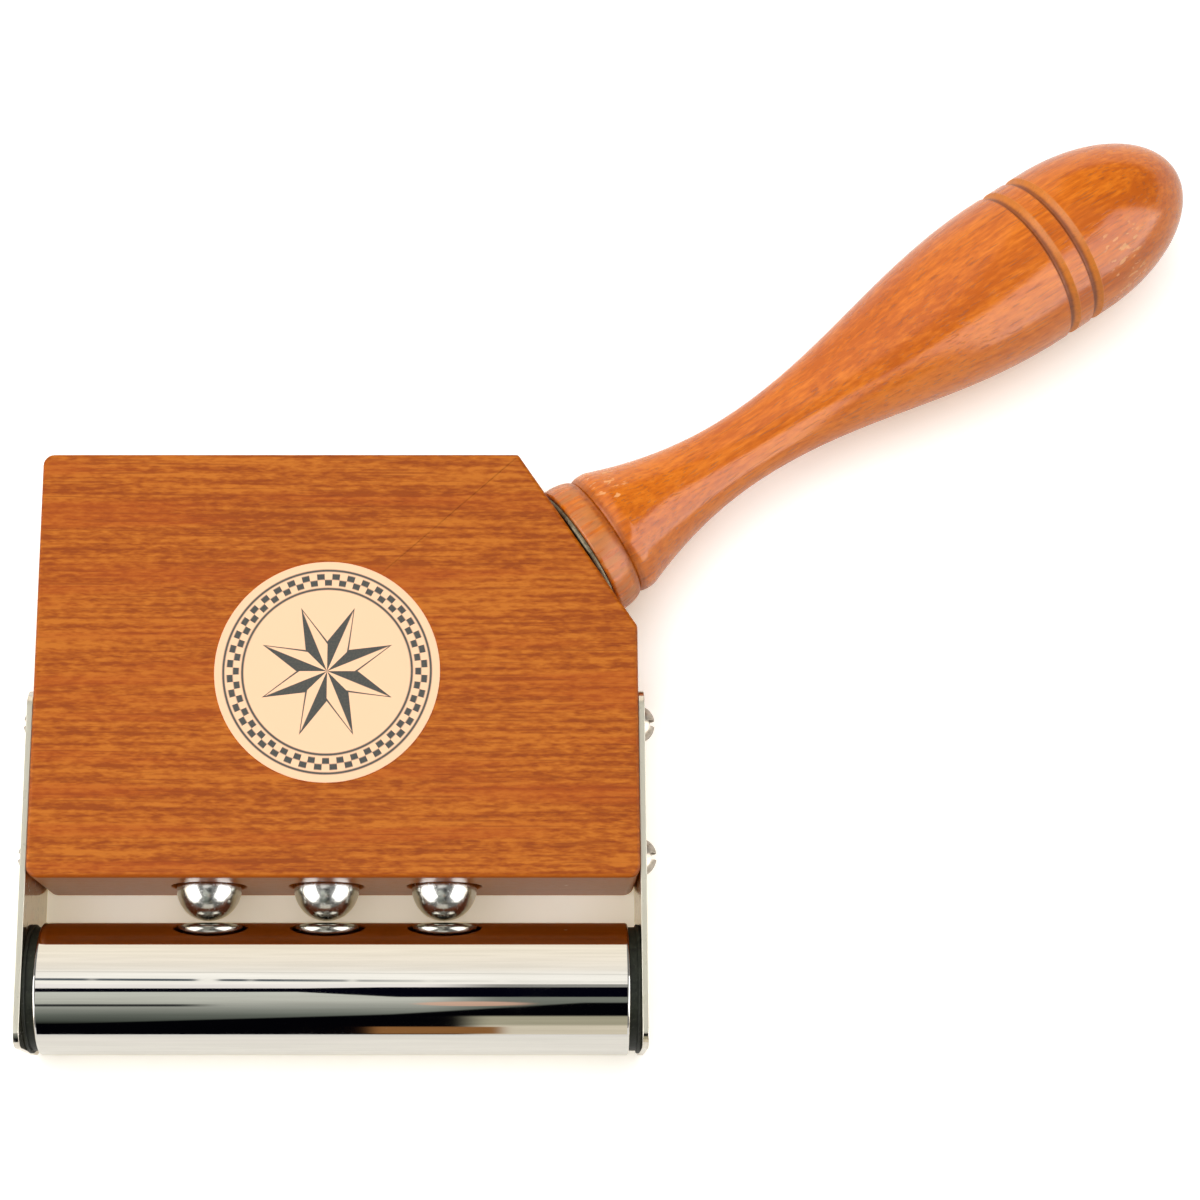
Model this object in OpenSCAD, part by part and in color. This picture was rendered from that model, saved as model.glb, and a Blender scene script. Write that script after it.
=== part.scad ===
// Cricket rattle: a hardwood block with a turned handle, loose steel balls and a steel tube.
// Shaken, the balls jump between their pockets in the block and the tube held below it.
// The rattle lies on its back: X runs along the tube, Y from the tube to the block's top edge,
// and Z out of the front face. The origin is the centre of the block's back face.

/* [Block] */
// Width of the block, along the tube
block_w = 117; // [100:1:140]
// Height of the block, from the ball side to the top edge
block_h = 84; // [72:1:100]
// Thickness of the block, from back to front
block_t = 27; // [24:0.5:34]
// Length that the handle's corner cut takes off the top edge
corner_cut = 23.1; // [18:0.1:34]
// Radius on the corners of the block's outline
corner_r = 1.5; // [0.5:0.1:3]

/* [Ball pockets] */
// Diameter of a ball
ball_d = 12.7; // [9:0.1:14]
// Free play around a ball in its pocket
ball_play = 0.9; // [0.6:0.1:1.4]
// Least air gap between a ball and what it lies against
ball_gap = 0.4; // [0.3:0.05:0.5]
// Depth of a pocket in the block
pocket_depth = 16; // [13:0.5:22]
// Distance between neighbouring balls
ball_spacing = 22.9; // [18:0.1:26]
// Sideways place of the middle ball
ball_row_x = -2; // [-6:0.5:6]

/* [Tube] */
// Outer diameter of the tube
tube_d = 25.4; // [20:0.1:30]
// Wall of the tube
tube_wall = 1.2; // [0.8:0.1:2]
// Open gap between the block and the tube
tube_gap = 7; // [5:0.5:9]

/* [Rubber plugs] */
// Thickness of the rim against the plate
plug_rim_t = 0.7; // [0.4:0.1:1.5]
// Thickness of the collar against the tube's end
plug_collar_t = 1.5; // [0.8:0.1:3]
// How far the rim stays inside the tube's outer radius
plug_rim_step = 0.4; // [0.2:0.1:0.6]
// How far the collar stays inside the tube's outer radius
plug_collar_step = 0.9; // [0.4:0.1:1]
// Length of the spigot in the tube
plug_spigot_l = 9; // [5:0.5:20]
// Diameter of the nub in the plate
plug_nub_d = 6; // [4:0.5:9]

/* [End plates] */
// Width of a plate, from back to front
plate_w = 25.4; // [20:0.1:30]
// Thickness of a plate
plate_t = 1.2; // [0.8:0.1:2]
// How far a plate reaches up the block's side
plate_rise = 37; // [34:0.5:40]
// How far a plate reaches below the tube's axis
plate_drop = 12.1; // [9:0.1:16]
// Radius on a plate's corners
plate_corner_r = 4; // [0.5:0.1:8]

/* [Plate screws] */
// Diameter of a screw's round head
head_d = 7.4; // [6:0.1:9]
// Height of a screw's head
head_h = 2.7; // [1.6:0.1:3]
// Diameter of a screw's shank
shank_d = 4.2; // [3:0.1:5]
// Length of a screw under its head
screw_l = 19; // [12:0.5:22]
// Length of a screw's point
point_l = 4; // [2:0.5:6]
// Length of the cross recess
recess_l = 6.2; // [3:0.1:6.4]
// Width of the recess's arms
recess_w = 1.4; // [0.6:0.1:1.8]
// Depth of the recess
recess_depth = 1.4; // [0.8:0.1:1.5]
// Height of the lower screw above the block's lower edge
screw_low = 5.8; // [5:0.1:7]
// Distance between a plate's two screws
screw_spacing = 26.4; // [20:0.1:27]

/* [Handle] */
// Angle of the handle above the tube's direction
handle_angle = 33.6; // [28:0.1:42]
// Diameter of the bead at the block
collar_d = 28.4; // [26:0.1:31]
// Length of the bead at the block
collar_l = 5.9; // [4:0.1:10]
// Radius on the bead's edge at the washer
collar_r = 0.6; // [0.3:0.1:1.5]
// Diameter at the bottom of the groove behind the bead
base_groove_d = 25; // [22:0.1:25.4]
// Diameter of the lip behind that groove
lip_d = 26.5; // [25.6:0.1:29]
// Length of the lip's round
lip_l = 4.4; // [2:0.1:6]
// Length of the flare from the lip to the neck
flare_l = 30.2; // [20:0.1:40]
// Diameter of the neck
neck_d = 14.6; // [12:0.1:18]
// Length of the grip from the neck to the swell
grip_l = 68.8; // [50:0.1:80]
// Diameter of the swell
swell_d = 33.4; // [28:0.1:38]
// Length of the swell
swell_l = 11.5; // [11:0.5:20]
// Length of the domed end
dome_l = 28.6; // [20:0.1:40]
// Distance from the start of the swell to its first groove
groove_start = 2.2; // [2:0.1:4]
// Distance between the two grooves
groove_spacing = 5.8; // [4:0.1:6.4]
// Width of a groove
groove_w = 2.4; // [1:0.1:3]
// Depth of a groove
groove_depth = 0.9; // [0.4:0.1:1.5]

/* [Handle fixing] */
// Diameter of the washer between block and handle
washer_d = 26.6; // [18:0.1:30]
// Thickness of the washer
washer_t = 1.2; // [1:0.1:2.5]
// Bevel on the washer's rim at the block
washer_bevel = 0.5; // [0.3:0.1:0.8]
// Diameter of the double-ended screw
stud_d = 6; // [4:0.5:8]
// Length of the double-ended screw, half of it in the block
stud_l = 60; // [40:1:70]

/* [Label] */
// Diameter of the round label
label_d = 43.7; // [30:0.1:46]
// Thickness of the label
label_t = 0.2; // [0.1:0.05:0.5]
// Sideways place of the label's centre
label_x = -1.7; // [-8:0.1:4]
// Place of the label's centre above the middle of the block
label_y = -2; // [-10:0.5:2]

/* [Fits] */
// Radial gap of a thread in wood and of the rubber in steel
hold_gap = 0.05; // [0.02:0.01:0.1]
// Radial gap of a screw or stud in a metal hole
clear_gap = 0.25; // [0.1:0.05:0.5]

/* [Hidden] */
$fn = 96;
// Straight steps that a curve of the handle is drawn with
curve_steps = 20;
// Overshoot of a cut past the face that it opens
cut_over = 1;
// Degrees that the lip's round runs on past its crest, down to the flare's slope
lip_turn = 48;
// Place of a groove's bottom across it, from -1 at the side of the block to 1
groove_bottom = -0.4;

mid_z = block_t / 2;
side_x = block_w / 2;
low_y = -block_h / 2;
top_y = block_h / 2;

// The cut face is square to the handle, so its height follows from the handle's angle
cut_h = corner_cut / tan(handle_angle);
cut_mid = [side_x - corner_cut / 2, top_y - cut_h / 2, mid_z];

tube_y = low_y - tube_gap - tube_d / 2;
plug_t = plug_rim_t + plug_collar_t;
tube_l = block_w - 2 * plug_t;
tube_bore = tube_d - 2 * tube_wall;

// A ball lies on the back wall of its pocket, just above the tube
pocket_d = ball_d + 2 * ball_play;
ball_y = low_y - tube_gap + ball_gap + ball_d / 2;
ball_z = mid_z - ball_play + ball_gap;

plate_low = tube_y - plate_drop;
plate_high = low_y + plate_rise;
screw_heights = [low_y + screw_low, low_y + screw_low + screw_spacing];

groove_places = [groove_start, groove_start + groove_spacing];

wood_color = [0.75, 0.4, 0.16];
handle_color = [0.86, 0.46, 0.14];
plate_color = [0.78, 0.76, 0.72];
chrome_color = [0.86, 0.87, 0.88];
rubber_color = [0.1, 0.1, 0.09];
label_color = [0.9, 0.86, 0.74];

// Unit vector from one point of an outline to another
function toward(from, to) = (to - from) / norm(to - from);

// Convex outline with every corner rounded to radius r
module rounded_outline(corners, r) {
    n = len(corners);
    turns = [
        for (i = [0 : n - 1])
            let (
                back = toward(corners[i], corners[(i + n - 1) % n]),
                ahead = toward(corners[i], corners[(i + 1) % n]),
                half = acos(back * ahead) / 2
            )
            [corners[i], back, ahead, half]
    ];
    polygon([for (t = turns, arm = [t[1], t[2]]) t[0] + arm * r / tan(t[3])]);
    for (t = turns)
        translate(t[0] + toward([0, 0], t[1] + t[2]) * r / sin(t[3]))
            circle(r);
}

// Frame on the cut corner, with Z along the handle and away from the block
module on_handle_axis() {
    translate(cut_mid) rotate([0, 0, handle_angle]) rotate([0, 90, 0]) children();
}

// Frame on a side of the block at height y, with Z pointing out of that side
module on_side(side, y) {
    translate([side * side_x, y, mid_z]) rotate([0, side * 90, 0]) children();
}

// Hardwood block with one corner cut off for the handle
module block() {
    corners = [
        [-side_x, low_y],
        [side_x, low_y],
        [side_x, top_y - cut_h],
        [side_x - corner_cut, top_y],
        [-side_x, top_y]
    ];
    color(wood_color) difference() {
        linear_extrude(block_t) rounded_outline(corners, corner_r);
        for (i = [-1 : 1])
            translate([ball_row_x + i * ball_spacing, low_y - cut_over, mid_z])
                rotate([-90, 0, 0])
                    cylinder(d = pocket_d, h = pocket_depth + cut_over);
        for (side = [-1, 1], y = screw_heights)
            on_side(side, y)
                translate([0, 0, plate_t - screw_l])
                    cylinder(d = shank_d + 2 * hold_gap, h = screw_l + cut_over);
        on_handle_axis()
            translate([0, 0, -stud_l / 2])
                cylinder(d = stud_d + 2 * hold_gap, h = stud_l / 2 + cut_over);
    }
}

// Flat steel strap on a side of the block, reaching down past the tube's end
module end_plate(side) {
    corners = [
        [-plate_w / 2, plate_low],
        [plate_w / 2, plate_low],
        [plate_w / 2, plate_high],
        [-plate_w / 2, plate_high]
    ];
    color(plate_color) on_side(side, 0) linear_extrude(plate_t) difference() {
        rounded_outline(corners, plate_corner_r);
        for (y = screw_heights)
            translate([0, y]) circle(d = shank_d + 2 * clear_gap);
        translate([0, tube_y]) circle(d = plug_nub_d + 2 * hold_gap);
    }
}

module left_end_plate() {
    end_plate(-1);
}

module right_end_plate() {
    end_plate(1);
}

// Round-head wood screw with a cross recess, its head seated on the plate
module plate_screw(side, y) {
    dome_r = (head_d * head_d / 4 + head_h * head_h) / (2 * head_h);
    color(chrome_color) on_side(side, y) translate([0, 0, plate_t]) difference() {
        union() {
            intersection() {
                translate([0, 0, head_h - dome_r]) sphere(dome_r);
                cylinder(d = head_d, h = head_h);
            }
            translate([0, 0, point_l - screw_l]) cylinder(d = shank_d, h = screw_l - point_l);
            translate([0, 0, -screw_l]) cylinder(d1 = 0, d2 = shank_d, h = point_l);
        }
        for (turn = [0, 90])
            rotate(turn)
                translate([-recess_l / 2, -recess_w / 2, head_h - recess_depth])
                    cube([recess_l, recess_w, recess_depth + cut_over]);
    }
}

module left_upper_screw() {
    plate_screw(-1, screw_heights[1]);
}

module left_lower_screw() {
    plate_screw(-1, screw_heights[0]);
}

module right_upper_screw() {
    plate_screw(1, screw_heights[1]);
}

module right_lower_screw() {
    plate_screw(1, screw_heights[0]);
}

// Thin steel tube that the balls strike
module tube() {
    color(chrome_color) translate([0, tube_y, mid_z]) rotate([0, 90, 0]) difference() {
        cylinder(d = tube_d, h = tube_l, center = true);
        cylinder(d = tube_bore, h = tube_l + 2 * cut_over, center = true);
    }
}

// Rubber plug between a plate and the tube, with a nub that keys into the plate
module end_plug(side) {
    color(rubber_color) on_side(side, tube_y) {
        cylinder(d = plug_nub_d, h = plate_t);
        translate([0, 0, -plug_rim_t])
            cylinder(d = tube_d - 2 * plug_rim_step, h = plug_rim_t);
        translate([0, 0, -plug_t])
            cylinder(d = tube_d - 2 * plug_collar_step, h = plug_collar_t);
        translate([0, 0, -plug_t - plug_spigot_l])
            cylinder(d = tube_bore - 2 * hold_gap, h = plug_spigot_l);
    }
}

module left_end_plug() {
    end_plug(-1);
}

module right_end_plug() {
    end_plug(1);
}

// Loose steel ball, i places to the right of the middle one
module ball(i) {
    color(chrome_color)
        translate([ball_row_x + i * ball_spacing, ball_y, ball_z]) sphere(d = ball_d);
}

module left_ball() {
    ball(-1);
}

module middle_ball() {
    ball(0);
}

module right_ball() {
    ball(1);
}

// Steel washer between the cut corner and the handle, its rim bevelled away from the block
module handle_washer() {
    color(plate_color) on_handle_axis() difference() {
        union() {
            cylinder(d1 = washer_d - 2 * washer_bevel, d2 = washer_d, h = washer_bevel);
            translate([0, 0, washer_bevel]) cylinder(d = washer_d, h = washer_t - washer_bevel);
        }
        translate([0, 0, -cut_over])
            cylinder(d = stud_d + 2 * clear_gap, h = washer_t + 2 * cut_over);
    }
}

// Double-ended wood screw that joins the handle to the block
module handle_stud() {
    color(chrome_color) on_handle_axis() cylinder(d = stud_d, h = stud_l, center = true);
}

// Half outline of the handle as [radius, distance from its base]
function handle_outline() =
    let (
        steps = [for (i = [0 : curve_steps]) i / curve_steps],
        later_steps = [for (i = [1 : curve_steps]) i / curve_steps],
        groove_r = base_groove_d / 2,
        bead_rise = collar_d / 2 - groove_r,
        lip_rise = lip_d / 2 - groove_r,
        flare_start = collar_l + lip_l / 2 * (1 + sin(lip_turn)),
        flare_r = groove_r + lip_rise * cos(lip_turn),
        neck = flare_start + flare_l,
        swell_start = neck + grip_l,
        dome_start = swell_start + swell_l,
        bead_edge = [
            for (s = steps)
                [collar_d / 2 - collar_r * (1 - sin(90 * s)), collar_r * (1 - cos(90 * s))]
        ],
        bead = [
            for (s = later_steps)
                [groove_r + bead_rise * cos(90 * s), collar_r + (collar_l - collar_r) * sin(90 * s)]
        ],
        lip = [
            for (s = later_steps)
                let (turn = (90 + lip_turn) * s - 90)
                [groove_r + lip_rise * cos(turn), collar_l + lip_l / 2 * (1 + sin(turn))]
        ],
        flare = [
            for (s = later_steps)
                [neck_d / 2 + (flare_r - neck_d / 2) * pow(1 - s, 2), flare_start + flare_l * s]
        ],
        grip = [
            for (s = later_steps)
                [neck_d / 2 + (swell_d - neck_d) / 4 * (1 - cos(180 * s)), neck + grip_l * s]
        ],
        grooves = [
            for (place = groove_places, point = [[-1, 0], [groove_bottom, groove_depth], [1, 0]])
                [swell_d / 2 - point[1], swell_start + place + point[0] * groove_w / 2]
        ],
        dome = [
            for (s = steps)
                [swell_d / 2 * cos(90 * s), dome_start + dome_l * sin(90 * s)]
        ]
    )
    concat([[0, 0]], bead_edge, bead, lip, flare, grip, grooves, dome);

// Turned hardwood handle
module handle() {
    color(handle_color) on_handle_axis() translate([0, 0, washer_t]) difference() {
        rotate_extrude() polygon(handle_outline());
        translate([0, 0, -cut_over])
            cylinder(d = stud_d + 2 * hold_gap, h = stud_l / 2 - washer_t + cut_over);
    }
}

// Round printed label on the front face
module front_label() {
    color(label_color) translate([label_x, label_y, block_t]) cylinder(d = label_d, h = label_t);
}

block();
left_end_plate();
right_end_plate();
left_upper_screw();
left_lower_screw();
right_upper_screw();
right_lower_screw();
tube();
left_end_plug();
right_end_plug();
left_ball();
middle_ball();
right_ball();
handle_washer();
handle_stud();
handle();
front_label();
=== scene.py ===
from math import acos, cos, pi, radians, sin

import bmesh
import bpy
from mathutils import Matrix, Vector


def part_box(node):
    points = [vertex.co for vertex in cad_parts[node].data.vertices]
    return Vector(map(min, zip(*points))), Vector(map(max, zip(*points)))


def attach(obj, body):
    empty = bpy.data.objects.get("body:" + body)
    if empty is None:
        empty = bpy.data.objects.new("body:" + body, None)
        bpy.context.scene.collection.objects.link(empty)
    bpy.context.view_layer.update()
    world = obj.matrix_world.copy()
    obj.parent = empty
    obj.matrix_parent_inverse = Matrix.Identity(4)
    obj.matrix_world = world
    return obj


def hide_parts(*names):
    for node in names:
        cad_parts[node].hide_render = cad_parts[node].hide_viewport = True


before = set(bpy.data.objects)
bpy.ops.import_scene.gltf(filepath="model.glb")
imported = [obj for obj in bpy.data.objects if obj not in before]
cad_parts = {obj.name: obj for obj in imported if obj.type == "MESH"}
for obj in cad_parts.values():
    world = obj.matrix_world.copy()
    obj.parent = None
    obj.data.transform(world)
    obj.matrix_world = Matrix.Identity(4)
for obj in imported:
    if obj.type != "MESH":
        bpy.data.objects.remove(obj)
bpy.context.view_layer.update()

# Block: sawn hardwood with one top corner cut off square to the handle. Three blind pockets are bored
# in its lower face, and pilot holes for the plates' screws and the handle's stud. The edges are sanded
# round, and clear lacquer covers it all.
mm = 0.001
block_low, block_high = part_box("block")
block_size = block_high - block_low
handle_angle = radians(33.6)
handle_way = Vector((cos(handle_angle), sin(handle_angle), 0))
corner_cut = 23.1 * mm
corner_cut_height = corner_cut * cos(handle_angle) / sin(handle_angle)
cut_middle = Vector((
    block_high.x - corner_cut / 2,
    block_high.y - corner_cut_height / 2,
    block_size.z / 2,
))
block_corner_round = 2.2 * mm
cut_corner_round = 0.35 * mm
block_edge_round = 0.9 * mm
square_turn = radians(80)
pocket_radius = 7.25 * mm
pocket_depth = 16 * mm
pocket_rim_round = 0.35 * mm
cutter_over = 1 * mm
ball_nodes = ("left_ball", "middle_ball", "right_ball")
screw_nodes = ("left_upper_screw", "left_lower_screw", "right_upper_screw", "right_lower_screw")
screw_shank_radius = 2.1 * mm
screw_length = 19 * mm
stud_radius = 3 * mm
stud_length = 60 * mm
thread_gap = 0.05 * mm


def middle(node):
    """The centre of a CAD node's box."""
    low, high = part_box(node)
    return (low + high) / 2


def begin(kind, **options):
    """Adds a primitive as the one selected object, with its size and place in its mesh."""
    bpy.ops.object.select_all(action="DESELECT")
    getattr(bpy.ops.mesh, "primitive_" + kind + "_add")(**options)
    bpy.ops.object.transform_apply(location=True, rotation=True, scale=True)
    return bpy.context.object


def select(kind, test):
    """In edit mode, selects only the faces or the edges that pass a test."""
    bpy.ops.mesh.select_mode(type=kind)
    bpy.ops.mesh.select_all(action="DESELECT")
    mesh = bmesh.from_edit_mesh(bpy.context.object.data)
    mesh.normal_update()
    for part in mesh.faces if kind == "FACE" else mesh.edges:
        part.select_set(test(part))
    bmesh.update_edit_mesh(bpy.context.object.data)


def turn(outline, foot, way, steps=96):
    """Turns a half outline of (distance from the foot, radius) points about the line along way."""
    across = way.orthogonal().normalized()
    spots = [foot + way * along + across * radius for along, radius in outline]
    piece = begin("plane", size=mm, location=spots[0])
    bpy.ops.object.mode_set(mode="EDIT")
    bpy.ops.mesh.select_mode(type="VERT")
    bpy.ops.mesh.select_all(action="SELECT")
    bpy.ops.mesh.merge(type="CENTER")
    for here, there in zip(spots, spots[1:]):
        bpy.ops.mesh.extrude_vertices_move(TRANSFORM_OT_translate={"value": there - here})
    bpy.ops.mesh.select_all(action="SELECT")
    bpy.ops.mesh.spin(steps=steps, angle=2 * pi, center=foot, axis=way)
    bpy.ops.mesh.select_all(action="SELECT")
    bpy.ops.mesh.remove_doubles(threshold=mm / 1000)
    bpy.ops.mesh.normals_make_consistent(inside=False)
    bpy.ops.object.mode_set(mode="OBJECT")
    return piece


def arc(along, radius, size, start, end, steps=6):
    """Points of a round stretch of an outline, from one angle to another about its centre."""
    angles = [start + (end - start) * step / steps for step in range(steps + 1)]
    return [(along + size * sin(angle), radius + size * cos(angle)) for angle in angles]


def apply(piece, kind, **settings):
    """Adds a modifier with these settings to a piece and applies it."""
    bpy.ops.object.select_all(action="DESELECT")
    bpy.context.view_layer.objects.active = piece
    piece.select_set(True)
    modifier = piece.modifiers.new(kind, kind)
    for name, value in settings.items():
        setattr(modifier, name, value)
    bpy.ops.object.modifier_apply(modifier=modifier.name)


def cut_out(piece, cutter):
    """Takes a cutter's shape out of a piece."""
    apply(piece, "BOOLEAN", object=cutter, operation="DIFFERENCE", solver="EXACT")
    bpy.data.objects.remove(cutter)


def smooth(piece, crease=40):
    """Shades a piece smoothly up to a crease in degrees, with its flat faces kept flat."""
    bpy.ops.object.select_all(action="DESELECT")
    bpy.context.view_layer.objects.active = piece
    piece.select_set(True)
    bpy.ops.object.shade_smooth_by_angle(angle=radians(crease))
    apply(piece, "WEIGHTED_NORMAL", keep_sharp=True)


class Wire:
    """A shader's socket in an expression: sums, products and the like add Math nodes."""

    def __init__(self, socket):
        self.socket = socket

    def node(self, kind, settings=None, sockets=None, output=0):
        """Adds any node, its settings first and then its sockets, and gives one of its outputs."""
        tree = self.socket.id_data
        made = tree.nodes.new("ShaderNode" + kind)
        for name, value in (settings or {}).items():
            if name == "stops":
                for stop, (spot, colour) in enumerate(value):
                    if stop > 1:
                        made.color_ramp.elements.new(spot)
                    made.color_ramp.elements[stop].position = spot
                    made.color_ramp.elements[stop].color = (*colour, 1)
            else:
                setattr(made, name, value)
        for name, value in (sockets or {}).items():
            if isinstance(value, Wire):
                tree.links.new(value.socket, made.inputs[name])
            else:
                made.inputs[name].default_value = value
        return Wire(made.outputs[output])

    def math(self, operation, *others):
        return self.node("Math", {"operation": operation}, dict(enumerate((self, *others))))

    def __add__(self, other):
        return self.math("ADD", other)

    def __sub__(self, other):
        return self.math("SUBTRACT", other)

    def __rsub__(self, other):
        return self * -1 + other

    def __mul__(self, other):
        return self.math("MULTIPLY", other)

    def __truediv__(self, other):
        return self.math("DIVIDE", other)

    def __rtruediv__(self, other):
        return self ** -1 * other

    def __pow__(self, other):
        return self.math("POWER", other)

    def __mod__(self, other):
        return self.math("FLOORED_MODULO", other)

    def __abs__(self):
        return self.math("ABSOLUTE")

    __radd__ = __add__
    __rmul__ = __mul__


def finish(name, **constants):
    """A new material: itself, its shader's sockets, and the place on the piece as a Wire."""
    material = bpy.data.materials.new(name)
    material.use_nodes = True
    nodes = material.node_tree.nodes
    sockets = nodes["Principled BSDF"].inputs
    for socket, value in constants.items():
        sockets[socket.replace("_", " ")].default_value = value
    return material, sockets, Wire(nodes.new("ShaderNodeTexCoord").outputs["Object"])


def feed(socket, wire):
    """Links a Wire to a shader's socket."""
    socket.id_data.links.new(wire.socket, socket)


def mapped(place, scale, shift=(0, 0, 0), rotation=(0, 0, 0)):
    """A place moved, turned and stretched into a pattern's own space."""
    return place.node("Mapping", {"vector_type": "POINT"}, {
        "Vector": place,
        "Location": shift,
        "Rotation": rotation,
        "Scale": scale,
    })


def parts(place):
    """The three coordinates of a place."""
    split = place.node("SeparateXYZ", None, {0: place})
    return [Wire(output) for output in split.socket.node.outputs]


def noise(place, scale, detail=2, roughness=0.5, output=0):
    """Noise whose cells measure one over the scale, in metres, along each axis."""
    return place.node("TexNoise", None, {
        "Vector": mapped(place, scale),
        "Scale": 1,
        "Detail": detail,
        "Roughness": roughness,
    }, output)


def between(wire, low, high):
    """Zero below one value and one above another, with a soft step."""
    return wire.node("MapRange", {"interpolation_type": "SMOOTHSTEP"}, {
        "Value": wire,
        "From Min": low,
        "From Max": high,
    })


def blend(mask, under, over):
    """One colour over another through a mask."""
    return mask.node("Mix", {"data_type": "RGBA"}, {0: mask, 6: under, 7: over}, 2)


def colour(red, green, blue):
    """A colour as a socket takes it."""
    return (red, green, blue, 1)


def ramp(wire, *stops):
    """A colour for each value, through (value, colour) stops."""
    return wire.node("ValToRGB", {"stops": stops}, {"Fac": wire})


def bump(height, strength, depth):
    """A normal that follows a height."""
    return height.node("Bump", None, {"Height": height, "Strength": strength, "Distance": depth})


def place_piece(piece, name, body, slot, material, *nodes):
    """Names a finished piece, gives it its material, and stands it in for its CAD nodes."""
    piece.name = name
    piece.data.name = name
    piece.data.materials.clear()
    piece.data.materials.append(material)
    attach(piece, body)
    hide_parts(*nodes)


def borehole(radius, start, end):
    """Half outline of a plain hole's cutter."""
    return [(start, 0), (start, radius), (end, radius), (end, 0)]


def along_x(edge):
    return abs((edge.verts[0].co - edge.verts[1].co).x) > 0.9 * edge.calc_length()


def along_z(edge):
    return abs((edge.verts[0].co - edge.verts[1].co).z) > 0.9 * edge.calc_length()


def square_corner(edge):
    return along_z(edge) and edge.calc_face_angle() > square_turn


def cut_corner(edge):
    """Whether an edge is where the cut for the handle meets the top or the side."""
    return along_z(edge) and edge.calc_face_angle() < square_turn


def front_rim(edge):
    """Whether an edge joins a front or back face to a side."""
    return sum(abs(face.normal.z) > 0.99 for face in edge.link_faces) == 1


block = begin("cube", size=1, location=(block_low + block_high) / 2, scale=block_size)
bpy.ops.object.mode_set(mode="EDIT")
bpy.ops.mesh.bisect(plane_co=cut_middle, plane_no=handle_way, use_fill=True, clear_outer=True)
select("EDGE", cut_corner)
bpy.ops.mesh.bevel(offset=cut_corner_round, segments=3)
select("EDGE", square_corner)
bpy.ops.mesh.bevel(offset=block_corner_round, segments=6)
select("EDGE", front_rim)
bpy.ops.mesh.bevel(offset=block_edge_round, segments=4)
bpy.ops.object.mode_set(mode="OBJECT")

pocket_rim = arc(0, pocket_radius + pocket_rim_round, pocket_rim_round, -pi, -pi / 2)
pocket_outline = [
    (pocket_depth, 0),
    (pocket_depth, pocket_radius),
    *[(pocket_rim_round + along, radius) for along, radius in pocket_rim],
    (-cutter_over, pocket_radius + pocket_rim_round),
    (-cutter_over, 0),
]
for node in ball_nodes:
    mouth = Vector((middle(node).x, block_low.y, block_size.z / 2))
    cut_out(block, turn(pocket_outline, mouth, Vector((0, 1, 0))))
for node in screw_nodes:
    side = 1 if node.startswith("right") else -1
    mouth = Vector((side * block_high.x, middle(node).y, block_size.z / 2))
    pilot = borehole(screw_shank_radius + thread_gap, -cutter_over, screw_length)
    cut_out(block, turn(pilot, mouth, Vector((-side, 0, 0)), 32))
stud_hole = borehole(stud_radius + thread_gap, -cutter_over, stud_length / 2)
cut_out(block, turn(stud_hole, cut_middle, -handle_way, 48))
smooth(block)

block_wood, sockets, place = finish("block_wood", Specular_IOR_Level=0.13, Coat_Roughness=0.2)
sway = noise(place, (8, 30, 30), 2, 0.5, 1)
wavy = place.node("VectorMath", {"operation": "MULTIPLY_ADD"}, {
    0: sway,
    1: (0, 1.4 * mm, 1.4 * mm),
    2: place,
})
bands = noise(wavy, (5, 120, 120), 2)
long_streaks = noise(wavy, (26, 980, 980), 1)
short_streaks = noise(wavy, (340, 1200, 1200), 1)
fibres = noise(wavy, (800, 2900, 2900), 1)
tone = bands * 0.12 + long_streaks * 0.36 + short_streaks * 0.32 + fibres * 0.2
grain = ramp(
    tone,
    (0.41, (0.3, 0.056, 0.001)),
    (0.5, (0.415, 0.095, 0.003)),
    (0.59, (0.53, 0.147, 0.009)),
)
red_patches = between(noise(wavy, (12, 200, 200), 1), 0.5, 0.66)
reddened = blend(red_patches * 0.4, grain, colour(0.42, 0.07, 0.003))
dark_lines = between(noise(wavy, (45, 1900, 1900), 1), 0.6, 0.7)
lined = blend(dark_lines * 0.5, reddened, colour(0.26, 0.045, 0.001))
pores = between(noise(wavy, (300, 3000, 3000), 1), 0.6, 0.72) * between(long_streaks, 0.56, 0.44)
dark_pores = blend(pores * 0.5, lined, colour(0.22, 0.04, 0.001))
height = parts(place)[1]
underside = between(height, block_low.y + 0.8 * mm, block_low.y + 0.1 * mm)
# Painted shade: the lower face is tinted a redder tone for the shade it lies in. Its thicker lacquer is real.
underside_shade_tint = blend(underside * 0.85, dark_pores, colour(0.43, 0.088, 0.001))
knocks = mapped(place, (150, 70, 150))
knock = knocks.node("TexVoronoi", {"feature": "F1"}, {"Vector": knocks, "Scale": 1})
chance = knocks.node("TexVoronoi", {"feature": "F1"}, {"Vector": knocks, "Scale": 1}, 1)
chosen = between(chance.node("SeparateColor", None, {0: chance}), 0.44, 0.46)
low_down = between(height, block_low.y + 9 * mm, block_low.y + 7 * mm)
nicks = between(knock, 0.075, 0.04) * chosen * low_down
feed(sockets["Base Color"], blend(nicks * 0.6, underside_shade_tint, colour(0.78, 0.5, 0.3)))
feed(sockets["Coat Weight"], underside * 0.33)
feed(sockets["Roughness"], 0.3 + fibres * 0.15)
feed(sockets["Normal"], bump(fibres * 0.4 + short_streaks * 0.6 - pores * 0.5, 0.12, 0.15 * mm))
place_piece(block, "block_body", "rattle", "block_wood", block_wood, "block")

# End plates: straps of bright nickel plated steel with rounded corners, punched for two screws and for
# the rubber plug's nub. One lies flat on each side of the block and reaches down past the tube.
plate_corner_round = 4 * mm
plate_edge_round = 0.15 * mm
plate_hole_radius = 2.35 * mm
sheared_depth = 0.4 * mm
sheared_fade = 0.3 * mm
plug_nub_radius = 3 * mm


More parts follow.
